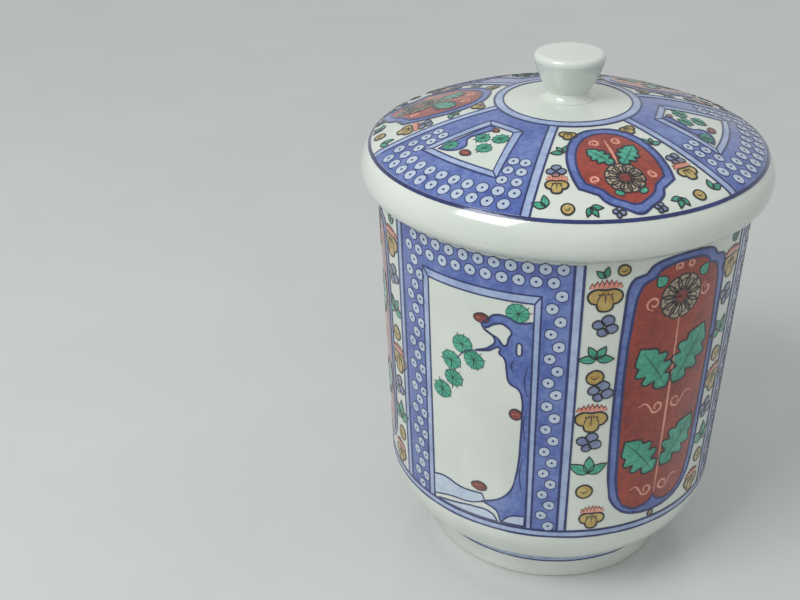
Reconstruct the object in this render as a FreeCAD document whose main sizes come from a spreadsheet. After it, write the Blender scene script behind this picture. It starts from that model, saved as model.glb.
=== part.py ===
"""A lidded porcelain cup: a footed cup, a domed lid that seats on its rim, and the lid's knob.

Millimetres, +Z up. The origin is on the surface that the cup stands on, under its axis.
Every piece is turned about Z, as it is on a potter's wheel or a jigger: a half profile is
revolved, the hollow and the foot are turned out of it, and the edges are rounded.
"""
import FreeCAD, Part
import os

import Sketcher

os.makedirs("parts", exist_ok=True)
doc = FreeCAD.newDocument("lidded_cup")

# ---------------------------------------------------------------- driving dimensions
# Each name is written once. Sizes of the lid that fit the cup are worked out from the cup's.
SIZES = {
    "cup_height": 83.0,         # standing surface to the top of the rim
    "body_radius": 35.2,        # outside, where the wall starts above the base curve
    "mouth_flare": 2.5,         # how much wider the mouth is than the wall's foot
    "rim_wall": 2.5,            # wall thickness at the mouth
    "body_wall": 3.2,           # wall thickness low down
    "rim_round": 0.8,           # rounding on both edges of the rim
    "base_rise": 11.5,          # height of the corner where base and wall would meet
    "base_curve": 13.5,         # rounding of that corner, outside
    "floor_height": 9.6,        # standing surface to the inside floor
    "hollow_curve": 12.0,       # rounding between the inside floor and wall
    "foot_inset": 8.8,          # foot ring inside the body's radius
    "foot_height": 7.2,         # standing surface to the crease above the foot ring
    "foot_flare": 1.3,          # how much wider the foot ring is at its top
    "foot_land": 2.0,           # width of the flat that the cup stands on
    "foot_draft": 1.0,          # lean of the foot ring's inner face
    "recess_depth": 5.6,        # hollow inside the foot ring
    "recess_round": 1.2,        # rounding at the top of that hollow
    "foot_round": 0.5,          # rounding on both edges of the foot's land
    "crease_round": 0.6,        # glaze-softened crease above the foot ring
    "lid_overhang": 3.3,        # lid's edge outside the cup's mouth
    "lid_height": 16.9,         # seat to the small flat under the knob
    "lid_edge": 7.6,            # seat to the corner where dome and edge would meet
    "lid_shoulder": 6.2,        # rounding of that corner
    "lid_lip": 3.3,             # rounding under the lid's edge
    "crown_wall": 3.6,          # lid thickness on the axis
    "haunch_height": 7.5,       # seat to the edge of the lid's hollow
    "haunch_round": 3.0,        # rounding there
    "flange_clearance": 0.6,    # gap between the lid's flange and the cup's mouth
    "flange_wall": 3.0,         # thickness of the flange
    "flange_depth": 4.0,        # how far it drops into the mouth
    "flange_round": 0.8,        # rounding on its lower edges
    "knob_base": 5.4,           # radius of the knob where it is stuck on
    "knob_edge": 0.15,          # upright edge of that base
    "knob_neck": 4.2,           # narrowest radius
    "neck_height": 1.6,         # height of the neck above the lid
    "neck_curve": 1.5,          # hollow curve between base and neck
    "knob_top": 6.95,           # widest radius, near the top
    "knob_height": 9.1,         # lid to the top of the knob
    "knob_side": 24.0,          # gentle outward curve of the knob's side
    "knob_lip": 1.3,            # upright edge at the knob's top
    "knob_round": 1.0,          # rounding of that edge
}
sheet = doc.addObject("Spreadsheet::Sheet", "Sizes")
for row, (name, value) in enumerate(SIZES.items(), start=1):
    sheet.set(f"A{row}", name)
    sheet.set(f"B{row}", str(value))
    sheet.setAlias(f"B{row}", name)
doc.recompute()

# Sizes that follow from the ones above, as sums of their names.
MOUTH_OUTER = "body_radius + mouth_flare"
MOUTH_INNER = MOUTH_OUTER + " - rim_wall"
HOLLOW_WALL = "body_radius - body_wall"
HOLLOW_FLAT = HOLLOW_WALL + " - hollow_curve"
FOOT_OUTER = "body_radius - foot_inset"
FOOT_TOP = FOOT_OUTER + " + foot_flare"
FOOT_INNER = FOOT_OUTER + " - foot_land"
RECESS_TOP = FOOT_INNER + " - foot_draft"
LID_RADIUS = MOUTH_OUTER + " + lid_overhang"
FLANGE_OUTER = MOUTH_INNER + " - flange_clearance"
FLANGE_INNER = FLANGE_OUTER + " - flange_wall"
CROWN_INSIDE = "lid_height - crown_wall"
KNOB_SEAT = "cup_height + lid_height"

NEAR = 0.02                     # how closely an edge must match the ring it is looked up by


def worth(words):
    """The value of a sum of named sizes, such as "cup_height + lid_height"."""
    total, sign = 0.0, 1.0
    for word in words.split():
        if word in ("+", "-"):
            sign = 1.0 if word == "+" else -1.0
        elif word != "0":
            total += sign * SIZES[word]
            sign = 1.0
    return total


def bound(words):
    """The same sum as an expression on the sheet."""
    return " ".join(word if word in ("+", "-", "0") else f"Sizes.{word}" for word in words.split())


# ---------------------------------------------------------------- building blocks
def new_body(label, height="0"):
    """A body whose own origin stands at a height above the shared one."""
    body = doc.addObject("PartDesign::Body", label)
    body.Label = label
    body.setExpression("Placement.Base.z", bound(height))
    return body


def plane(body, role):
    """One of the body's own origin planes."""
    return next(part for part in body.Origin.OriginFeatures if part.Role == role)


def pin_point(sketch, curve, end, across, up):
    """Hold one end of a curve at (across, up), each a sum of named sizes."""
    for words, kind, axis in ((across, "DistanceX", -2), (up, "DistanceY", -1)):
        value = worth(words)
        if words == "0":
            sketch.addConstraint(Sketcher.Constraint("PointOnObject", curve, end, axis))
        elif value > 0:
            index = sketch.addConstraint(Sketcher.Constraint(kind, -1, 1, curve, end, value))
            sketch.setExpression(f"Constraints[{index}]", bound(words))
        else:
            index = sketch.addConstraint(Sketcher.Constraint(kind, curve, end, -1, 1, -value))
            sketch.setExpression(f"Constraints[{index}]", f"-({bound(words)})")


def arc_between(start, end, radius):
    """An arc from start to end. A positive radius bulges to the left of the way travelled."""
    chord = end - start
    middle = (start + end) * 0.5
    left = FreeCAD.Vector(-chord.y, chord.x, 0) / chord.Length
    reach = (radius ** 2 - (chord.Length / 2) ** 2) ** 0.5
    crest = abs(radius) - reach
    side = 1 if radius > 0 else -1
    return Part.Arc(start, middle + left * crest * side, end)


def profile(body, name, corners):
    """A closed half profile on the body's XZ plane, corner by corner.

    A corner is (across, up), with a third word where an arc, not a line, leads on from it:
    the name of the arc's radius with a sign that says which way it bulges, or "centred"
    for an arc whose centre lies on the axis.
    """
    sketch = body.newObject("Sketcher::SketchObject", name)
    sketch.AttachmentSupport = [(plane(body, "XZ_Plane"), "")]
    sketch.MapMode = "FlatFace"
    points = [FreeCAD.Vector(worth(corner[0]), worth(corner[1]), 0) for corner in corners]
    starts, ends = [], []
    for index, corner in enumerate(corners):
        start, end = points[index], points[(index + 1) % len(points)]
        if len(corner) == 2:
            curve = sketch.addGeometry(Part.LineSegment(start, end))
            starts.append((curve, 1))
            ends.append((curve, 2))
            continue
        if corner[2] == "centred":
            centre_up = (start.Length ** 2 - end.Length ** 2) / (2 * (start.y - end.y))
            radius = (start - FreeCAD.Vector(0, centre_up, 0)).Length
            side = -1 if end.x > start.x else 1
            bulge = -side * radius if centre_up < min(start.y, end.y) else side * radius
        else:
            radius = SIZES[corner[2].lstrip("-")]
            bulge = -radius if corner[2].startswith("-") else radius
        arc = arc_between(start, end, bulge).toShape().Curve
        circle = Part.Circle(arc.Center, FreeCAD.Vector(0, 0, 1), arc.Radius)
        turns_left = arc.Axis.z > 0
        first, last = (start, end) if turns_left else (end, start)
        span = (circle.parameter(first), circle.parameter(last))
        curve = sketch.addGeometry(Part.ArcOfCircle(circle, *span))
        starts.append((curve, 1 if turns_left else 2))
        ends.append((curve, 2 if turns_left else 1))
        if corner[2] == "centred":
            sketch.addConstraint(Sketcher.Constraint("PointOnObject", curve, 3, -2))
        else:
            held = sketch.addConstraint(Sketcher.Constraint("Radius", curve, radius))
            sketch.setExpression(f"Constraints[{held}]", f"Sizes.{corner[2].lstrip('-')}")
    for index, corner in enumerate(corners):
        join = Sketcher.Constraint("Coincident", *ends[index - 1], *starts[index])
        sketch.addConstraint(join)
        pin_point(sketch, *starts[index], corner[0], corner[1])
    return sketch


def turned(body, name, corners, cut=False):
    """Revolve a half profile about Z, to add a turned solid or to turn one out."""
    sketch = profile(body, f"{name}_profile", corners)
    feature = body.newObject("PartDesign::Groove" if cut else "PartDesign::Revolution", name)
    feature.Profile = sketch
    feature.ReferenceAxis = (sketch, ["V_Axis"])
    feature.Angle = 360
    sketch.Visibility = False
    doc.recompute()
    return feature


def rounded(body, name, size, *rings):
    """Round the circular edges at (radius, height), each a pair of sums of named sizes."""
    base = body.Tip
    edges = []
    for across, up in rings:
        radius, height = worth(across), worth(up)
        for number, edge in enumerate(base.Shape.Edges, start=1):
            box = edge.BoundBox
            level = abs(box.ZMin - height) < NEAR and abs(box.ZMax - height) < NEAR
            if level and abs(box.XMax - radius) < NEAR:
                edges.append(f"Edge{number}")
    if len(edges) < len(rings):
        raise RuntimeError(f"{name}: {len(edges)} edges found for {len(rings)} rings")
    feature = body.newObject("PartDesign::Fillet", name)
    feature.Base = (base, edges)
    feature.setExpression("Radius", bound(size))
    doc.recompute()
    return feature


# ---------------------------------------------------------------- the cup
def make_cup():
    """Footed cup with an upright wall that opens slightly to a flat-topped rim."""
    cup = new_body("cup")
    turned(cup, "thrown_body", [
        ("0", "0"),
        (FOOT_OUTER, "0"),
        (FOOT_TOP, "foot_height"),
        ("body_radius", "base_rise"),
        (MOUTH_OUTER, "cup_height"),
        ("0", "cup_height"),
    ])
    rounded(cup, "base_rounding", "base_curve", ("body_radius", "base_rise"))
    turned(cup, "hollow", [
        ("0", "floor_height"),
        (HOLLOW_FLAT, "floor_height", "-hollow_curve"),
        (HOLLOW_WALL, "floor_height + hollow_curve"),
        (MOUTH_INNER, "cup_height"),
        ("0", "cup_height"),
    ], cut=True)
    turned(cup, "foot_recess", [
        ("0", "0"),
        (FOOT_INNER, "0"),
        (RECESS_TOP, "recess_depth"),
        ("0", "recess_depth"),
    ], cut=True)
    rounded(cup, "recess_rounding", "recess_round", (RECESS_TOP, "recess_depth"))
    rounded(cup, "rim_rounding", "rim_round",
            (MOUTH_OUTER, "cup_height"), (MOUTH_INNER, "cup_height"))
    rounded(cup, "foot_rounding", "foot_round", (FOOT_OUTER, "0"), (FOOT_INNER, "0"))
    rounded(cup, "crease_softening", "crease_round", (FOOT_TOP, "foot_height"))
    return cup


# ---------------------------------------------------------------- the lid
def make_lid():
    """Domed lid: its flat underside rests on the rim and its flange drops into the mouth."""
    lid = new_body("lid", "cup_height")
    turned(lid, "dome", [
        ("0", "0"),
        (LID_RADIUS, "0"),
        (LID_RADIUS, "lid_edge", "centred"),
        ("knob_base", "lid_height"),
        ("0", "lid_height"),
    ])
    rounded(lid, "shoulder_rounding", "lid_shoulder", (LID_RADIUS, "lid_edge"))
    rounded(lid, "lip_rounding", "lid_lip", (LID_RADIUS, "0"))
    turned(lid, "flange", [
        ("0", "0"),
        ("0", "0 - flange_depth"),
        (FLANGE_OUTER, "0 - flange_depth"),
        (FLANGE_OUTER, "0"),
    ])
    turned(lid, "lid_hollow", [
        ("0", "0 - flange_depth"),
        (FLANGE_INNER, "0 - flange_depth"),
        (FLANGE_INNER, "haunch_height", "centred"),
        ("0", CROWN_INSIDE),
    ], cut=True)
    rounded(lid, "haunch_rounding", "haunch_round", (FLANGE_INNER, "haunch_height"))
    rounded(lid, "flange_rounding", "flange_round",
            (FLANGE_OUTER, "0 - flange_depth"), (FLANGE_INNER, "0 - flange_depth"))
    return lid


def make_knob():
    """Knob like a small upturned cone, flat on top, stuck to the flat on the lid's crown."""
    knob = new_body("lid_knob", KNOB_SEAT)
    turned(knob, "knob_shape", [
        ("0", "0"),
        ("knob_base", "0"),
        ("knob_base", "knob_edge", "neck_curve"),
        ("knob_neck", "neck_height", "-knob_side"),
        ("knob_top", "knob_height - knob_lip"),
        ("knob_top", "knob_height"),
        ("0", "knob_height"),
    ])
    rounded(knob, "knob_rounding", "knob_round", ("knob_top", "knob_height"))
    return knob


pieces = [make_cup(), make_lid(), make_knob()]
doc.recompute()

# ---------------------------------------------------------------- checks and files
failed = [part.Name for part in doc.Objects if {"Invalid", "Error"} & set(part.State)]
if failed:
    raise RuntimeError(f"features that failed: {failed}")
for piece in pieces:
    shape = piece.Shape
    if shape.isNull() or not shape.isValid() or len(shape.Solids) != 1:
        raise RuntimeError(f"{piece.Label} is not one valid solid")
    box = shape.BoundBox
    print(f"{piece.Label}: {shape.Volume / 1000:.2f} cm3, "
          f"x {box.XMin:.2f} to {box.XMax:.2f}, z {box.ZMin:.2f} to {box.ZMax:.2f}")
for piece in pieces:
    piece.Shape.exportStep(f"parts/{piece.Label}.step")
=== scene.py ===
# %% [markdown]
# # A lidded porcelain cup, painted in blue, red, green and ochre
# The cup, its lid and the lid's knob come from the CAD frame at their real size, and stay as they
# are. What Blender adds is what the painter and the kiln add: a clear glaze over cool white clay,
# and up to fourteen coats of paint on each pot, each a thin layer with its own colour and brushwork.

# %% Open the frame
import math
import random

import bpy
from mathutils import Matrix, Vector


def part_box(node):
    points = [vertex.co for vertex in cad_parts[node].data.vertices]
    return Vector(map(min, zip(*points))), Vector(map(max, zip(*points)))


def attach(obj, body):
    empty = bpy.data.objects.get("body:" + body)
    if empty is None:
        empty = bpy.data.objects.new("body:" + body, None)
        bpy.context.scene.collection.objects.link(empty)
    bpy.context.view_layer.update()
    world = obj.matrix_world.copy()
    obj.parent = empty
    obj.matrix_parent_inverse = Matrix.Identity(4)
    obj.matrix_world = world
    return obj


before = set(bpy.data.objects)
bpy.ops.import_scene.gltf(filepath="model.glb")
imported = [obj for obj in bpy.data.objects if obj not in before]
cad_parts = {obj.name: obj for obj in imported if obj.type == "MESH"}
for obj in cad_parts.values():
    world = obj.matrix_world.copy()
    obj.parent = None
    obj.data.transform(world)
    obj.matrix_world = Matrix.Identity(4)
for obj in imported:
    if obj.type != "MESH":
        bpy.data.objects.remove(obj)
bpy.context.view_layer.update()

MM = 0.001
cup, lid, knob = (bpy.data.objects[name] for name in ("cup", "lid", "lid_knob"))
cup_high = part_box("cup")[1]
lid_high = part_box("lid")[1]
MOUTH = cup_high[0] / MM
RIM = cup_high[2] / MM
LID_RADIUS = lid_high[0] / MM
print(f"mouth radius {MOUTH:.1f} mm, rim {RIM:.1f} mm up, lid radius {LID_RADIUS:.1f} mm")

# %% [markdown]
# ## A flat page to paint on
# Painting straight onto a curved wall is hard, so each pattern is drawn flat first, as a transfer
# is printed flat and then slid onto the pot. The page is measured in millimetres. A filled area
# is a flat closed curve, and a brush line is a ribbon whose width follows the brush's pressure.
# Every coat keeps its own list, because each becomes one piece in one colour.

# %% The page, its fills and its brush lines
page = {}
easel = {"turn": 0.0, "shift": (0.0, 0.0)}


def set_easel(turn=0.0, shift=(0.0, 0.0)):
    """Say where on the page the next shapes go."""
    easel["turn"], easel["shift"] = turn, shift


def placed(points, at=(0, 0), turn=0.0, size=1.0, flip=1):
    """Scale, mirror, turn and move a list of points, each (x, y) with an optional mark."""
    c, s = math.cos(math.radians(turn)), math.sin(math.radians(turn))
    return [
        (at[0] + size * (flip * x * c - y * s), at[1] + size * (flip * x * s + y * c), *mark)
        for x, y, *mark in points
    ]


def on_page(points):
    """Move points drawn on the easel to their place on the page."""
    return placed(points, easel["shift"], easel["turn"])


def fill(coat, *outlines):
    """One filled area: an outline, then any holes in it."""
    page.setdefault(coat, ([], []))[0].append([on_page(outline) for outline in outlines])


def line(coat, points, width, closed=False, ends=0.3):
    """One brush line. Its ends are as thin as that share of its width."""
    page.setdefault(coat, ([], []))[1].append((on_page(points), width, closed, ends))


def oval(x, y, across, up=None, points=4, jitter=0.0, chance=None):
    """Points round an oval, a little uneven if a jitter and a random source are given."""
    up = across if up is None else up
    ring = []
    for step in range(points):
        angle = 2 * math.pi * step / points
        wobble = 1 + (chance.uniform(-jitter, jitter) if chance else 0.0)
        ring.append((x + across * wobble * math.cos(angle), y + up * wobble * math.sin(angle)))
    return ring

print("page ready, marked in millimetres")

# %% [markdown]
# ## From the page to flat meshes
# Blender's own curves do the drawing. Smooth points get automatic handles and corners get straight
# ones. A brush line is a curve with a width and a tilt of a quarter turn, which lays its ribbon
# flat on the page. All curves of one coat are turned into one mesh.

# %% Draw the page
def pick(*objects):
    """Select only these objects, the first one active."""
    if bpy.context.mode != "OBJECT":
        bpy.ops.object.mode_set(mode="OBJECT")
    bpy.ops.object.select_all(action="DESELECT")
    for one in objects:
        one.select_set(True)
    bpy.context.view_layer.objects.active = objects[0]


def flat_curve(name, flat):
    """An empty curve: a filled flat one, or one that carries a ribbon."""
    data = bpy.data.curves.new(name, "CURVE")
    data.dimensions = "2D" if flat else "3D"
    data.resolution_u = 4
    if flat:
        data.fill_mode = "BOTH"
    else:
        data.twist_mode = "Z_UP"
    one = bpy.data.objects.new(name, data)
    bpy.context.scene.collection.objects.link(one)
    return one


def add_spline(curve, points, closed, pressure=None):
    """One smooth run of points. A marked point is a sharp corner."""
    spline = curve.data.splines.new("BEZIER")
    spline.bezier_points.add(len(points) - 1)
    spline.use_cyclic_u = closed
    for index, (knot, point) in enumerate(zip(spline.bezier_points, points)):
        knot.co = (point[0] * MM, point[1] * MM, 0)
        kind = "VECTOR" if len(point) > 2 else "AUTO"
        knot.handle_left_type = knot.handle_right_type = kind
        if pressure:
            knot.tilt = math.pi / 2
            knot.radius = pressure(index / max(1, len(points) - 1))


def draw_coat(name, fills, lines):
    """Turn one coat's fills and brush lines into one flat mesh."""
    curves = []
    for outlines in fills:
        curve = flat_curve(name, flat=True)
        for outline in outlines:
            add_spline(curve, outline, closed=True)
        curves.append(curve)
    for width in sorted({stroke[1] for stroke in lines}):
        curve = flat_curve(name, flat=False)
        curve.data.extrude = width / 2 * MM
        for points, own_width, closed, ends in lines:
            if own_width != width:
                continue
            swell = (lambda t: 1.0) if closed else (
                lambda t, ends=ends: ends + (1 - ends) * math.sin(math.pi * t) ** 0.6)
            add_spline(curve, points, closed, swell)
        curves.append(curve)
    pick(*curves)
    bpy.ops.object.convert(target="MESH")
    if len(curves) > 1:
        bpy.ops.object.join()
    flat = bpy.context.view_layer.objects.active
    flat.name = name
    face_up(flat)
    return flat


def face_up(flat):
    """Turn every face of a flat mesh to look up."""
    pick(flat)
    bpy.ops.object.mode_set(mode="EDIT")
    bpy.ops.mesh.select_mode(type="FACE")
    bpy.ops.mesh.select_all(action="DESELECT")
    bpy.ops.object.mode_set(mode="OBJECT")
    for face in flat.data.polygons:
        face.select = face.normal.z < 0
    bpy.ops.object.mode_set(mode="EDIT")
    bpy.ops.mesh.flip_normals()
    bpy.ops.object.mode_set(mode="OBJECT")


def slice_up(flat, step, both_ways):
    """Cut a flat mesh into strips, or squares, narrow enough to bend with the pot."""
    pick(flat)
    spans = [(axis, low, high) for axis, low, high in (
        (0, min(v.co.x for v in flat.data.vertices), max(v.co.x for v in flat.data.vertices)),
        (1, min(v.co.y for v in flat.data.vertices), max(v.co.y for v in flat.data.vertices)),
    ) if axis == 0 or both_ways]
    bpy.ops.object.mode_set(mode="EDIT")
    for axis, low, high in spans:
        normal = (1, 0, 0) if axis == 0 else (0, 1, 0)
        for cut in range(math.ceil(low / step), math.floor(high / step) + 1):
            bpy.ops.mesh.select_all(action="SELECT")
            place = (cut * step, 0, 0) if axis == 0 else (0, cut * step, 0)
            bpy.ops.mesh.bisect(plane_co=place, plane_no=normal)
    bpy.ops.object.mode_set(mode="OBJECT")


# %% [markdown]
# ## From flat meshes to the pots
# The cup's page is stood upright and bent round the axis, and the lid's page is dropped onto the
# dome from above. Shrinkwrap then lays the paint on the real surface, and Solidify gives it a
# little body, part of it sunk in the glaze, so that it is a closed layer and not a bare sheet.
# Last, the paint borrows the pot's own normals, so that the glaze's reflections run on over it.

# %% Lay paint on the cup and on the lid
PAINT_SUNK = 0.05
THIRD_TURN = 2 * math.pi / 3


def use_modifier(one, kind, **settings):
    """Add a modifier, set it and apply it."""
    pick(one)
    modifier = one.modifiers.new(kind.lower(), kind)
    for name, value in settings.items():
        setattr(modifier, name, value)
    bpy.ops.object.modifier_apply(modifier=modifier.name)


def three_round(one, first_turn):
    """Turn a piece about the pot's axis, copy it twice and join the three."""
    copies = [one]
    for _ in range(2):
        pick(one)
        bpy.ops.object.duplicate()
        copies.append(bpy.context.view_layer.objects.active)
    for index, copy in enumerate(copies):
        copy.rotation_euler = (0, 0, first_turn + index * THIRD_TURN)
    pick(*copies)
    bpy.ops.object.transform_apply(rotation=True)
    bpy.ops.object.join()
    return bpy.context.view_layer.objects.active


def finish_paint(paint, pot, lift, material, body):
    """Give a laid coat its body, the pot's normals and its colour."""
    use_modifier(paint, "SOLIDIFY", thickness=(lift + PAINT_SUNK) * MM, offset=-1)
    for face in paint.data.polygons:
        face.use_smooth = True
    use_modifier(paint, "DATA_TRANSFER", object=pot, use_loop_data=True,
                 data_types_loops={"CUSTOM_NORMAL"}, loop_mapping="POLYINTERP_NEAREST")
    paint.data.materials.clear()
    paint.data.materials.append(material)
    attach(paint, body)


BEND_RADIUS = MOUTH - 1.2
CLEARANCE = 1.8
STRIP = 1.6 * MM
SQUARE = 0.9 * MM


def paint_cup(flat, lift, material, first_turn, radius=BEND_RADIUS):
    """Stand a flat coat up, bend it round and lay it on the cup's wall."""
    slice_up(flat, STRIP, both_ways=False)
    flat.rotation_euler = (math.pi / 2, 0, 0)
    pick(flat)
    bpy.ops.object.transform_apply(rotation=True)
    width = max(v.co.x for v in flat.data.vertices) - min(v.co.x for v in flat.data.vertices)
    use_modifier(flat, "SIMPLE_DEFORM", deform_method="BEND", deform_axis="Z",
                 angle=width / (radius * MM))
    flat.location.y = -radius * MM
    pick(flat)
    bpy.ops.object.transform_apply(location=True)
    # The page stands clear outside the wall, or the inner wall could be the nearer one.
    clear = (radius + CLEARANCE) / radius
    flat.scale = (clear, clear, 1)
    bpy.ops.object.transform_apply(scale=True)
    paint = three_round(flat, first_turn)
    use_modifier(paint, "SHRINKWRAP", target=cup, wrap_method="NEAREST_SURFACEPOINT",
                 wrap_mode="ABOVE_SURFACE", offset=lift * MM)
    finish_paint(paint, cup, lift, material, "cup")
    return paint


def paint_lid(flat, lift, material, first_turn):
    """Drop a flat coat onto the lid from above."""
    slice_up(flat, SQUARE, both_ways=True)
    flat.location.z = lid_high[2] + 10 * MM
    pick(flat)
    bpy.ops.object.transform_apply(location=True)
    paint = three_round(flat, first_turn)
    use_modifier(paint, "SHRINKWRAP", target=lid, wrap_method="PROJECT", use_project_z=True,
                 use_negative_direction=True, use_positive_direction=False,
                 wrap_mode="ABOVE_SURFACE", offset=lift * MM)
    finish_paint(paint, lid, lift, material, "lid")
    return paint
print(f"a coat sinks {PAINT_SUNK} mm into the glaze")

# %% [markdown]
# ## Glaze and enamel
# The white is clear glaze over cool clay: almost even, with faint clouds and a softly rippled
# gloss. The paints are washes: thin where the brush ran dry, deep where it pooled.
# One shader group makes that pooling, and every coat mixes its thin and its full colour by it.

# %% The shared brushwork group
def srgb(*levels):
    """Turn a colour, 0 to 255, into what a shader wants."""
    linear = [((c / 255 + 0.055) / 1.055) ** 2.4 if c > 10 else c / 255 / 12.92 for c in levels]
    return (*linear, 1)


def add_node(tree, kind, **settings):
    """Add a shader node, setting its sockets or its own choices by name."""
    node = tree.nodes.new(kind)
    for name, value in settings.items():
        if name in node.inputs:
            node.inputs[name].default_value = value
        else:
            setattr(node, name, value)
    return node


def make_brushwork():
    """Fine streaks and broad pools of noise, added up into one wash."""
    tree = bpy.data.node_groups.new("brushwork", "ShaderNodeTree")
    for name in ("Streak", "Pool", "Shift"):
        tree.interface.new_socket(name, in_out="INPUT", socket_type="NodeSocketFloat")
    for name in ("Wash", "Roughness", "Height"):
        tree.interface.new_socket(name, in_out="OUTPUT", socket_type="NodeSocketFloat")
    given = add_node(tree, "NodeGroupInput")
    result = add_node(tree, "NodeGroupOutput")
    place = add_node(tree, "ShaderNodeTexCoord")
    moved = add_node(tree, "ShaderNodeVectorMath", operation="ADD")
    streaks = add_node(tree, "ShaderNodeTexNoise", Detail=3.0, Roughness=0.6)
    pools = add_node(tree, "ShaderNodeTexNoise", Detail=2.0, Roughness=0.5)
    both = add_node(tree, "ShaderNodeMath", operation="ADD")
    wash = add_node(tree, "ShaderNodeMapRange")
    wash.inputs["From Min"].default_value = 0.72
    wash.inputs["From Max"].default_value = 1.25
    rough = add_node(tree, "ShaderNodeMapRange")
    rough.inputs["To Min"].default_value = 0.08
    rough.inputs["To Max"].default_value = 0.22
    tree.links.new(place.outputs["Object"], moved.inputs[0])
    tree.links.new(given.outputs["Shift"], moved.inputs[1])
    for noise, scale in ((streaks, "Streak"), (pools, "Pool")):
        tree.links.new(moved.outputs[0], noise.inputs["Vector"])
        tree.links.new(given.outputs[scale], noise.inputs["Scale"])
    tree.links.new(streaks.outputs["Fac"], both.inputs[0])
    tree.links.new(pools.outputs["Fac"], both.inputs[1])
    tree.links.new(both.outputs[0], wash.inputs["Value"])
    tree.links.new(streaks.outputs["Fac"], rough.inputs["Value"])
    tree.links.new(wash.outputs[0], result.inputs["Wash"])
    tree.links.new(rough.outputs[0], result.inputs["Roughness"])
    tree.links.new(both.outputs[0], result.inputs["Height"])
    return tree


brushwork = make_brushwork()


def painted(name, thin, full, streak=900.0, pool=160.0, shift=0.0, bump=0.08):
    """A glossy ceramic colour between its thin and its full wash."""
    material = bpy.data.materials.new(name)
    material.use_nodes = True
    tree = material.node_tree
    shader = tree.nodes["Principled BSDF"]
    brush = add_node(tree, "ShaderNodeGroup")
    brush.node_tree = brushwork
    brush.inputs["Streak"].default_value = streak
    brush.inputs["Pool"].default_value = pool
    brush.inputs["Shift"].default_value = shift
    mix = add_node(tree, "ShaderNodeMix", data_type="RGBA")
    mix.inputs["A"].default_value = srgb(*thin)
    mix.inputs["B"].default_value = srgb(*full)
    relief = add_node(tree, "ShaderNodeBump", Strength=bump, Distance=0.0002)
    tree.links.new(brush.outputs["Wash"], mix.inputs["Factor"])
    tree.links.new(mix.outputs["Result"], shader.inputs["Base Color"])
    tree.links.new(brush.outputs["Roughness"], shader.inputs["Roughness"])
    tree.links.new(brush.outputs["Height"], relief.inputs["Height"])
    tree.links.new(relief.outputs["Normal"], shader.inputs["Normal"])
    shader.inputs["Coat Weight"].default_value = 0.6
    shader.inputs["Coat Roughness"].default_value = 0.04
    return material


COATS = {
    "field": ((112, 132, 190), (66, 88, 162), 0.05),
    "pale": ((176, 192, 220), (140, 160, 202), 0.06),
    "ground": ((205, 215, 224), (170, 190, 216), 0.06),
    "disc": ((196, 208, 220), (172, 188, 212), 0.08),
    "red": ((168, 62, 42), (122, 34, 26), 0.07),
    "green": ((84, 182, 152), (30, 142, 116), 0.09),
    "vein": ((30, 120, 104), (14, 92, 84), 0.11),
    "ochre": ((202, 182, 118), (170, 136, 56), 0.08),
    "grey": ((142, 152, 182), (100, 114, 154), 0.08),
    "taupe": ((186, 170, 146), (140, 118, 98), 0.09),
    "pink": ((232, 168, 146), (210, 128, 108), 0.11),
    "rust": ((150, 70, 60), (110, 32, 30), 0.11),
    "navy": ((34, 50, 118), (14, 26, 82), 0.12),
    "black": ((30, 32, 44), (12, 14, 24), 0.13),
}
print(len(COATS), "coats of paint mixed")

# %% [markdown]
# ## The white
# All three pots came from one glaze bucket, so they share a colour. Each has its clouds shifted,
# because no two pots take the glaze alike. Its noise is coarse, where the paint's is fine.

# %% Glaze the cup, the lid and the knob
for number, pot in enumerate((cup, lid, knob)):
    glaze = painted(f"{pot.name} glaze", (208, 215, 207), (222, 227, 219), streak=60.0,
                    pool=18.0, shift=number * 0.3, bump=0.03)
    pot.data.materials.clear()
    pot.data.materials.append(glaze)
print("glazed", cup.name, lid.name, knob.name)

# %% [markdown]
# ## The painter's small motifs
# Both pots share one set of motifs: pine needles, scrolls, lobed leaves, a fan-shaped flower with
# a red fringe, round fruit, cloud-like grey lobes and sprigs. Each is a function that paints one,
# because a painter repeats a motif too. Needles, sprays, fruit, lobes, buds and discs come out a
# little different at each repeat, from one seed.

# %% Motifs
chance = random.Random(12)


def mirrored(right_side):
    """A whole outline from its right side, first and last points on the middle line."""
    return right_side + [(-x, y, *mark) for x, y, *mark in reversed(right_side[1:-1])]


def outlined(coat, points, width=0.25, ink="black"):
    """A filled shape with a brush line round it."""
    fill(coat, points)
    line(ink, points, width, closed=True)


def needles(x, y, reach=2.3):
    """A tuft of pine needles: a green blot under dark spokes."""
    outlined("green", oval(x, y, reach * 0.9, reach * 0.8, 7, 0.1, chance), 0.15, "vein")
    for spoke in range(11):
        angle = math.radians(-100 + spoke * 36 + chance.uniform(-8, 8))
        tip = reach * chance.uniform(0.85, 1.15)
        line("black", [(x, y), (x + tip * math.cos(angle), y + tip * math.sin(angle))], 0.2)


def scroll(x, y, size=1.6, flip=1, turn=0.0, tail=0.0):
    """A curl that winds inward, with a tail if one is asked for."""
    curl = []
    for step in range(9):
        angle = math.radians(step * 55)
        reach = 1.0 - 0.09 * step
        curl.append((reach * math.cos(angle), reach * math.sin(angle)))
    if tail:
        curl.insert(0, (1.0 + tail / 2, -0.9))
        curl.insert(0, (1.0 + tail, -0.5))
    line("pink", placed(curl, (x, y), turn, size, flip), 0.5)


def leaf(x, y, length, turn, wide=0.24):
    """A plain pointed leaf with one vein."""
    half = [(0, 0, 0), (wide, 0.3), (wide * 0.9, 0.6), (0, 1, 0)]
    outlined("green", placed(mirrored(half), (x, y), turn, length), 0.22)
    line("vein", placed([(0, 0.15), (0, 0.85)], (x, y), turn, length), 0.18)


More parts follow.
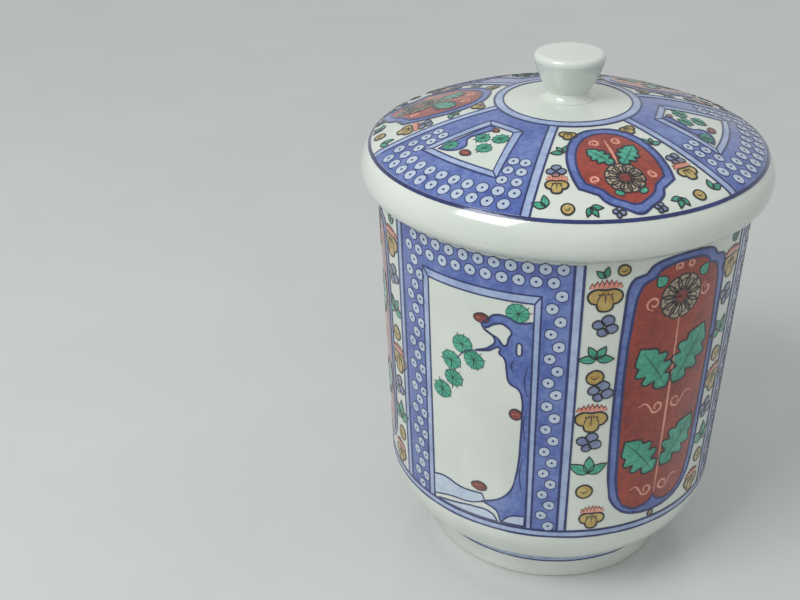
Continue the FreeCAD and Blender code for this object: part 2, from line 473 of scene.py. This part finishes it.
def leaf_spray(x, y, size, turn=0.0, spread=42.0, count=3):
    """A few leaves fanned from one point."""
    for index in range(count):
        leaf(x, y, size * chance.uniform(0.9, 1.08), turn + (index - (count - 1) / 2) * spread)


def lobed_leaf(x, y, length, turn, wide=0.33):
    """A big leaf with four lobes a side, each with its own rib."""
    half = [(0, 0, 0)]
    ribs = []
    for out, reach in ((0.16, 0.55), (0.38, 0.95), (0.6, 1.0), (0.8, 0.7)):
        half.append((wide * reach, out))
        half.append((wide * reach * 0.62, out + 0.11, 0))
        ribs.append((wide * reach * 0.8, out))
    half.append((0, 1.04, 0))
    outlined("green", placed(mirrored(half), (x, y), turn, length), 0.38)
    line("vein", placed([(0, 0.05), (0.02, 0.5), (0, 0.95)], (x, y), turn, length), 0.4)
    for across, out in ribs:
        for side in (-1, 1):
            rib = [(0, out - 0.14), (side * across, out)]
            line("vein", placed(rib, (x, y), turn, length), 0.32)


def fringe(x, y, wide=6.0, turn=0.0):
    """A flower's zigzag fringe, tallest in the middle."""
    teeth = [(-wide / 2, 0, 0)]
    for tooth in range(7):
        across = -wide / 2 + wide * (tooth + 0.5) / 7
        rise = 1.7 * math.cos((across / wide) * 2.2)
        teeth.append((across, rise, 0))
        teeth.append((across + wide / 14, rise * 0.45, 0))
    teeth[-1] = (wide / 2, 0, 0)
    fill("pink", placed(teeth, (x, y), turn))
    line("rust", placed(teeth, (x, y), turn), 0.4)
    for tooth in range(6):
        across = -wide / 2 + wide * (tooth + 1) / 7
        line("rust", placed([(across, 0.1), (across, 0.9)], (x, y), turn), 0.25)


def flower(x, y, size=1.0, turn=0.0, fringed=True):
    """A fan-shaped flower with folds and dots."""
    fan = [(0, 2.2), (1.9, 2.3), (3.2, 1.2), (2.7, -0.5), (1.6, -0.9, 0), (1.2, -2.1),
           (0, -2.5), (-1.2, -2.1), (-1.6, -0.9, 0), (-2.7, -0.5), (-3.2, 1.2), (-1.9, 2.3)]
    outlined("ochre", placed(fan, (x, y), turn, size), 0.35)
    for side in (-1, 0, 1):
        fold = [(side * 0.4, 1.7), (side * 1.3, 0.4), (side * 1.5, -0.8)]
        line("black", placed(fold, (x, y), turn, size), 0.2)
    for dot in range(4):
        spot = placed([(-1.2 + 0.8 * dot, 1.2)], (x, y), turn, size)[0]
        fill("black", oval(*spot, 0.16))
    if fringed:
        top = placed([(0, 2.6)], (x, y), turn, size)[0]
        fringe(*top, wide=6.2 * size, turn=turn)


def fruit(x, y, reach=1.7):
    """A round fruit with a crease."""
    outlined("ochre", oval(x, y, reach, reach, 6, 0.05, chance), 0.3)
    line("black", [(x - reach * 0.5, y + 0.2), (x, y - 0.3), (x + reach * 0.5, y + 0.3)], 0.18)


def lobes(x, y, size=1.0, turn=0.0):
    """Four grey lobes like a small cloud."""
    petals = ((-1.3, 0.4, 1.1), (0.4, 1.3, 1.2), (1.3, -0.5, 1.2), (-0.4, -1.2, 1.0))
    for across, up, reach in petals:
        centre = placed([(across, up)], (x, y), turn, size)[0]
        outlined("grey", oval(*centre, reach * size, reach * size * 0.85, 5, 0.1, chance), 0.26)


def bud(x, y, wide=3.0, tall=2.0):
    """A dark red bud with a pale line."""
    outlined("rust", oval(x, y, wide / 2, tall / 2, 6, 0.08, chance), 0.25)
    line("pink", [(x - wide * 0.3, y), (x + wide * 0.3, y + 0.1)], 0.3)


def rosette(x, y, reach):
    """Eleven curled petals round a four-lobed heart."""
    for petal in range(11):
        turn = petal * 360 / 11
        shape = [(0, 0.3), (0.26, 0.62), (0.22, 0.95), (0, 1.0), (-0.22, 0.95), (-0.26, 0.62)]
        outlined("taupe", placed(shape, (x, y), turn, reach), 0.3)
        line("black", placed([(-0.1, 0.62), (0.06, 0.82), (0.1, 0.6)], (x, y), turn, reach), 0.2)
    for lobe in range(4):
        angle = math.radians(45 + 90 * lobe)
        place = (x + reach * 0.2 * math.cos(angle), y + reach * 0.2 * math.sin(angle))
        fill("rust", oval(*place, reach * 0.2))
    line("black", oval(x, y, reach * 0.42, reach * 0.42, 8), 0.2, closed=True)


def disc(x, y, reach=1.15):
    """One pale disc with a dot in it."""
    ring = oval(x, y, reach, reach, 6, 0.05, chance)
    fill("disc", ring)
    line("navy", ring, 0.16, closed=True)
    fill("navy", oval(x, y, 0.24))

print("motifs ready, all from one seed")

# %% [markdown]
# ## The cup's page: a ringed panel with a pine, and a red panel with a rosette
# Six panels go round the cup, two kinds by turns, with a pale blue stripe between them. The page
# holds one of each kind, and is laid on three times. The window of the first is cut out of the
# blue field, so that the white in it is the pot's own glaze.

# %% The ringed panel
PANEL = math.radians(60) * BEND_RADIUS
EDGE = PANEL / 2
TOP = RIM - 1
FOOT_OF_FIELD = 20.5
page.clear()
set_easel()
left, right, window_top = -11.7, 12.9, 75.3
in_left, in_right, in_top = -10.2, 11.7, 73.6
inside = EDGE - 1.0


def arch(a, b, top, c, d, in_roof, foot=FOOT_OF_FIELD):
    """A square arch: outer sides a and b under top, inner sides c and d under in_roof."""
    return [(a, foot, 0), (c, foot, 0), (c, in_roof, 0), (d, in_roof, 0),
            (d, foot, 0), (b, foot, 0), (b, top, 0), (a, top, 0)]


fill("field", arch(-inside, inside, TOP, left, right, window_top))
fill("pale", arch(left, right, window_top, in_left, in_right, in_top))
for x1, x2, roof in ((left, right, window_top), (in_left, in_right, in_top)):
    line("navy", [(x1, FOOT_OF_FIELD, 0), (x1, roof, 0), (x2, roof, 0), (x2, FOOT_OF_FIELD, 0)],
         0.4, ends=1)
line("navy", [(left, window_top), (in_left, in_top)], 0.3, ends=1)
line("navy", [(right, window_top), (in_right, in_top)], 0.3, ends=1)
for side in (-1, 1):
    near, far = side * EDGE - 0.6, side * EDGE + 0.6
    fill("pale", [(near, FOOT_OF_FIELD, 0), (far, FOOT_OF_FIELD, 0), (far, TOP, 0), (near, TOP, 0)])
    for x in (near - 0.25, far + 0.25):
        line("navy", [(x, FOOT_OF_FIELD), (x, TOP)], 0.5, ends=1)
for row in range(23):
    up = TOP - 1.0 - 2.7 * row
    for column in range(12):
        across = -17.2 + 3.05 * column + 1.5 * (row % 2)
        beside = across < left - 0.9 or across > right + 0.9
        if abs(across) < inside - 0.9 and (up > window_top + 0.6 or beside):
            disc(across, up)
band = [(-EDGE, 20, 0), (3 * EDGE, 20, 0), (3 * EDGE, 19, 0), (-EDGE, 19, 0)]
fill("pale", band)
for height in (20.3, 18.75):
    line("navy", [(-EDGE, height), (3 * EDGE, height)], 0.5, ends=1)
print("ringed panel,", f"{PANEL:.1f} mm wide")

# %% [markdown]
# ## A pine leaning over a bank
# The trunk is one long outline with a knot hole left in it, filled with the field's blue and then
# lined. Needles are green blots under dark spokes. The bank and roots are paler washes.

# %% The pine by the water
trunk = [(11.6, 20.9, 0), (11.6, 69.6, 0), (8.6, 69.2), (7.2, 70), (4.4, 70), (3.3, 69.1),
         (1.9, 67.6, 0), (2.2, 66.9), (4.4, 68), (5.8, 68.4), (6.9, 67.9), (7.7, 66.9),
         (7.2, 65.5), (6.5, 63.7), (5.1, 65), (3.3, 65.9), (2.2, 66.6, 0), (4.6, 64.6),
         (3.3, 62.6), (0.4, 61.2, 0), (3.4, 62), (5.6, 63), (5.4, 61.9), (6.5, 60.9),
         (7, 58), (7.6, 55.5),
         (9.4, 54.4), (10.1, 52.3), (10.2, 48.7), (10.1, 43), (9.9, 37.3), (9.2, 32.3),
         (7.9, 28.7), (5.8, 26.6), (2.2, 25, 0), (5.4, 23.6), (6.4, 20.9, 0)]
knot_hole = oval(9.2, 63.4, 0.55, 1.45)
fill("field", trunk, knot_hole)
line("navy", trunk, 0.35, closed=True)
line("navy", knot_hole, 0.3, closed=True)
for bark in ((10.6, 30, 38), (11, 42, 50), (10.9, 53, 60), (8.3, 58, 61)):
    line("navy", [(bark[0], bark[1]), (bark[0] - 0.5, sum(bark[1:]) / 2), (bark[0], bark[2])], 0.25)
bank = [(-10.1, 26.6, 0), (-7.1, 27.4), (-2.8, 26.6), (2.2, 26.9, 0), (2.9, 25.1, 0),
        (-0.6, 23.7), (-5.6, 23), (-10.1, 21.4, 0)]
outlined("ground", bank, 0.3, "navy")
for hump in ([(-9, 20.8, 0), (-4.2, 21.9), (0.8, 22.9), (4.4, 22.6), (5.8, 20.8, 0)],
             [(6.6, 20.8, 0), (8.3, 22.8), (11.4, 23.4, 0), (11.4, 20.8, 0)]):
    outlined("ground", hump, 0.3, "navy")
for x, y in ((8.85, 71.2), (-2.2, 61.6), (0.3, 58.9), (-4.7, 57.1), (-4.4, 53.1), (-7.1, 49.4)):
    needles(x, y)
line("navy", [(0.4, 61.2), (-1.5, 60.4), (-3.6, 57.8)], 0.3)
bud(1.9, 68.7)
bud(9.0, 48.5, 2.4, 2.4)
bud(1.5, 28.7, 3.6, 2.0)
print("pine,", len(trunk), "points in its trunk")

# %% [markdown]
# ## Red under a scalloped border
# The border is the blue between two outlines, so it is a fill with a hole, and the red fills that
# hole. Both outlines are drawn as a right half and mirrored, as a painter folds a paper pattern.

# %% The red panel
MIDDLE = 2 * EDGE + 0.97
set_easel(shift=(MIDDLE, 0))
outer = mirrored([(0, 22.4), (4.1, 22.8), (7.3, 24.1), (9.8, 26.9), (10.9, 30.9), (11.4, 36),
                  (11.4, 73), (10.9, 77.6), (10.1, 78.7, 0), (8, 79.3, 0), (6.8, 80.8),
                  (4, 81.7), (0, 82)])
inner = mirrored([(0, 26.2, 0), (0.9, 25), (3, 24.1), (5.5, 24.4), (8, 26.6), (9.1, 30.1),
                  (9.65, 37), (9.65, 72), (8.7, 76.6), (8, 77.5, 0), (6.2, 78.3, 0),
                  (5.2, 79.6), (3, 80.4), (0, 80.6)])
fill("field", outer, inner)
fill("red", inner)
line("navy", outer, 0.5, closed=True)
line("navy", inner, 0.5, closed=True)
line("pink", [(0, 68.7), (0.15, 47), (0, 26.8)], 0.7)
rosette(0, 73, 4.6)
for side in (-1, 1):
    leaf(side * 4.0, 76.2, 2.8, -side * 40, 0.42)
    scroll(side * 1.4, 79.6, 0.9, side, 60)
    scroll(side * 6.0, 72.8, 1.5, side, 90)
    scroll(side * 2.3, 48.9, 1.5, -side, 180, tail=1.8)
    scroll(side * 2.2, 28.4, 1.5, -side, 180, tail=1.6)
for x, y, length, turn in ((-0.8, 53.2, 11.6, 34), (0.8, 53.4, 12.8, -30),
                           (-0.9, 32.8, 11.4, 40), (0.9, 33.3, 12.0, -36)):
    lobed_leaf(x, y, length, turn)
print("red panel,", f"{MIDDLE:.1f} mm round from the ringed one")

# %% [markdown]
# ## Small flowers down both edges
# Flowers, fruit, lobes and leaves take turns down each strip. They are placed one by one, since
# even spacing would look printed.

# %% The flowers on either side of the red panel
set_easel(shift=(2 * EDGE, 0))
leaf_spray(-14.6, 79.4, 2.4, 20, 60, 2)
fruit(-11.4, 80.7, 1.1)
leaf_spray(14.9, 79.6, 2.2, -20, 60, 2)
for x, y in ((-14.3, 74.8), (-14.8, 47.8), (14.8, 74.6), (16.0, 47.8)):
    flower(x, y, 0.95)
for x, y in ((-12.9, 23.0), (13.9, 22.9)):
    flower(x, y, 0.8)
for x, y in ((-13.9, 69.2), (-13.6, 54.7), (-14.9, 42.8), (15.1, 68.2), (15.0, 41.6)):
    lobes(x, y)
for x, y, size in ((-14.9, 62.2, 3.4), (15.1, 60.0, 3.6)):
    leaf_spray(x, y, size, 0, 62, 4)
for x, y, size in ((-14.5, 35.2, 4.6), (15.6, 33.4, 4.4)):
    leaf_spray(x, y, size, 0, 58, 3)
for x, y in ((-14.9, 58.0), (15.4, 54.6), (-15.0, 30.6), (15.4, 29.4)):
    fruit(x, y, 1.6)
fruit(0.97, 21.3, 0.7)
print(len(page), "coats on the cup's page")

# %% [markdown]
# ## Lay the cup's coats
# The blue goes on first and the black outlines last, each a few hundredths of a millimetre higher,
# so that no coat flickers through another. The two thin rings by the foot are bent to a smaller
# circle, because the foot is much narrower than the wall.

# %% Fire the cup
CUP_TURN = math.radians(-24)
for coat, (thin, full, lift) in COATS.items():
    if coat not in page:
        continue
    flat = draw_coat(f"cup_{coat}", *page[coat])
    piece = paint_cup(flat, lift, painted(f"cup {coat}", thin, full), CUP_TURN)
    print(piece.name, len(piece.data.polygons), "faces")

FOOT_BEND = 26.4
foot_reach = math.pi / 3 * FOOT_BEND
for coat, heights, width in (("pale", (5.9,), 1.1), ("navy", (5.2, 6.6), 0.35)):
    page.clear()
    set_easel()
    for height in heights:
        line(coat, [(-foot_reach, height), (foot_reach, height)], width, ends=1)
    thin, full, lift = COATS[coat]
    flat = draw_coat(f"foot_{coat}", *page[coat])
    paint_cup(flat, lift, painted(f"foot {coat}", thin, full), CUP_TURN, FOOT_BEND)

# %% [markdown]
# ## The lid's page, seen from above
# The lid repeats the cup's two panels as six sectors round the knob, so its page is the plan view.
# A sector is drawn pointing at the viewer, with the knob above it, and the second kind is drawn a
# sixth of a turn round.

# %% The ringed sector
page.clear()
set_easel()
HUB = 14.3
FIELD_RADIUS = LID_RADIUS - 2.2


def arc(radius, start, stop, steps):
    """Points along a circle, in degrees from the viewer's side of the page."""
    angles = [math.radians(start + (stop - start) * step / steps) for step in range(steps + 1)]
    return [(radius * math.sin(a), -radius * math.cos(a), 0) for a in angles]


window = [(-4.1, -17.4, 0), (4.1, -17.4, 0), (9.6, -30.4, 0), (5, -31.1), (0, -31.4),
          (-5, -31.1), (-9.6, -30.4, 0)]
pane = [(-2.9, -18.7, 0), (2.9, -18.7, 0), (7.8, -29.4, 0), (4, -29.9), (0, -30.1),
        (-4, -29.9), (-7.8, -29.4, 0)]
fill("field", arc(FIELD_RADIUS, -28.5, 28.5, 24) + arc(HUB, 27, -27, 10), window)
fill("pale", window, pane)
line("navy", window, 0.35, closed=True)
line("navy", pane, 0.3, closed=True)
for near, far in ((0, 0), (1, 1), (2, 2), (6, 6)):
    line("navy", [window[near][:2], pane[far][:2]], 0.25, ends=1)
for radius in (37.2, 34.6):
    for step in range(-7, 8):
        angle = step * math.degrees(3.05 / radius)
        if abs(angle) < 26:
            disc(*arc(radius, angle, angle, 1)[0][:2])
for angle in (-24.5, -19.6, 19.6, 24.5):
    for radius in (32.0, 29.4, 26.9):
        disc(*arc(radius, angle, angle, 1)[0][:2], 1.05)
rock = [(-2.7, -19, 0), (-1.2, -19.4), (-2.4, -22), (-3.4, -24.4), (-2.0, -26.5), (-3.4, -28.4),
        (-6.6, -29.0, 0), (-4.2, -23)]
outlined("field", rock, 0.3, "navy")
for x, y in ((-0.9, -23), (1.6, -25.3), (2.3, -21.6), (-5.0, -27.4)):
    needles(x, y, 1.6)
bud(-0.6, -28.0, 2.4, 1.5)
bud(-0.6, -19.8, 1.6, 1.1)
for side in (-30, 30):
    a = math.radians(side)
    for shift, coat, width in ((0, "pale", 1.3), (0.82, "navy", 0.35), (-0.82, "navy", 0.35)):
        near = (HUB * math.sin(a) + shift * math.cos(a), -HUB * math.cos(a) + shift * math.sin(a))
        away = (FIELD_RADIUS * math.sin(a) + shift * math.cos(a),
                -FIELD_RADIUS * math.cos(a) + shift * math.sin(a))
        line(coat, [near, away], width, ends=1)
print(f"ringed sector, {HUB} to {FIELD_RADIUS:.1f} mm out")

# %% [markdown]
# ## Red again, on the lid
# The second sector is the cup's red panel shortened to a shield. The easel is turned a sixth of a
# turn, so that it can still be drawn pointing at the viewer.

# %% The flowered sector
set_easel(turn=60)
lid_outer = mirrored([(0, -15.8), (3.5, -16.4), (6, -18.4), (8.2, -22.5), (9.1, -28),
                      (8.9, -31.2, 0), (6.0, -33.4, 0), (5.2, -35.2), (2.5, -37.1), (0, -38.3)])
lid_inner = mirrored([(0, -17.3), (2.7, -17.9), (4.7, -19.5), (6.7, -23), (7.6, -28),
                      (7.3, -30.3, 0), (4.9, -32.4, 0), (4, -34), (1.9, -35.6), (0, -36.4)])
fill("field", lid_outer, lid_inner)
fill("red", lid_inner)
line("navy", lid_outer, 0.45, closed=True)
line("navy", lid_inner, 0.4, closed=True)
line("pink", [(0, -26.5), (0.1, -23), (0, -19.6)], 0.6)
rosette(0, -30.2, 3.6)
lobed_leaf(-0.7, -26.6, 5.8, 35)
lobed_leaf(0.7, -26.9, 6.4, -38)
for side in (-1, 1):
    leaf(side * 2.6, -32.6, 2.0, side * 150, 0.42)
    scroll(side * 2.1, -20.2, 1.0, side, 30)
    scroll(side * 5.4, -29.8, 0.9, side, 80)
    flower(side * 5.9, -16.6, 0.5, side * 25, fringed=False)
    leaf_spray(side * 8.4, -21.4, 2.2, -side * 20, 55, 3)
    lobes(side * 11.3, -25.9, 0.7)
    flower(side * 12.4, -29.6, 0.62, side * 20)
    leaf_spray(side * 15.6, -33.4, 2.6, -side * 20, 60, 2)
    fruit(side * 12.2, -34.9, 1.1)
    leaf_spray(side * 8.3, -35.6, 2.2, side * 160, 55, 3)
    lobes(side * 3.8, -37.5, 0.45)
print("both sectors drawn")

# %% [markdown]
# ## Rings, then the lid's coats
# On a wheel a ring is one steady brush while the pot turns. Here a third of each ring is drawn, as
# an arc, and the copies close it. Then the coats go down in the same order as on the cup.

# %% Rings round the knob and the rim
set_easel()
line("pale", [point[:2] for point in arc(13.4, -30, 90, 24)], 1.5, ends=1)
for radius, width in ((12.6, 0.3), (HUB, 0.4), (FIELD_RADIUS + 0.3, 0.5)):
    line("navy", [point[:2] for point in arc(radius, -30, 90, 24)], width, ends=1)

LID_TURN = math.radians(-39)
for coat, (thin, full, lift) in COATS.items():
    if coat not in page:
        continue
    flat = draw_coat(f"lid_{coat}", *page[coat])
    piece = paint_lid(flat, lift + 0.02, painted(f"lid {coat}", thin, full), LID_TURN)
    print(piece.name, len(piece.data.polygons), "faces")

# %% [markdown]
# ## The table, the light and the camera
# The pot stands on a plain pale table. A pale sky fills the shadows and one soft lamp, high on
# the left, gives the gloss on the lid's shoulder. The camera looks down on the lid, close by, so
# that the whole top and most of the wall show together.

# %% Table and light
def soft_table():
    """A wide pale table top under the pot."""
    bpy.ops.object.select_all(action="DESELECT")
    bpy.ops.mesh.primitive_plane_add(size=4, location=(0, 0, 0))
    table = bpy.context.object
    table.name = "table"
    table.data.materials.append(painted("table", (204, 206, 205), (210, 212, 211), 20.0, 4.0))
    return table


soft_table()
sky = bpy.data.worlds.new("sky")
bpy.context.scene.world = sky
sky.use_nodes = True
sky.node_tree.nodes["Background"].inputs["Color"].default_value = (0.93, 0.96, 0.95, 1)
sky.node_tree.nodes["Background"].inputs["Strength"].default_value = 0.6

lamp = bpy.data.lights.new("window", "AREA")
lamp.size = 0.3
lamp.energy = 2
lamp_object = bpy.data.objects.new("window", lamp)
bpy.context.scene.collection.objects.link(lamp_object)
lamp_object.location = (-0.3, -0.3, 0.5)
aim = Vector((0, 0, 0.05)) - lamp_object.location
lamp_object.rotation_euler = aim.to_track_quat("-Z", "Y").to_euler()
print("lamp", lamp.name, "of", lamp.size, "m")

# %% [markdown]
# ## Where the viewer stands
# A near, high viewpoint with a fairly short lens makes the lid look large and the foot small. The
# three directions are worked out from a turn, a tilt and a slight roll.

# %% Camera
YAW, PITCH, ROLL = math.radians(8.8), math.radians(28.93), math.radians(-0.9)
lens = bpy.data.cameras.new("camera")
lens.lens = 51.75
lens.sensor_width = 36
lens.clip_start = 0.01
camera = bpy.data.objects.new("camera", lens)
bpy.context.scene.collection.objects.link(camera)
ahead = Vector((-math.sin(YAW) * math.cos(PITCH), math.cos(YAW) * math.cos(PITCH),
                -math.sin(PITCH)))
aside = Vector((math.cos(YAW), math.sin(YAW), 0))
above = aside.cross(ahead)
right_hand = aside * math.cos(ROLL) + above * math.sin(ROLL)
upward = above * math.cos(ROLL) - aside * math.sin(ROLL)
turned = Matrix((right_hand, upward, -ahead)).transposed().to_4x4()
VIEWPOINT = (0, -0.2191, 0.1746)
camera.matrix_world = Matrix.Translation(VIEWPOINT) @ turned
bpy.context.scene.camera = camera
bpy.context.scene.view_settings.view_transform = "Standard"
print("camera at", VIEWPOINT)
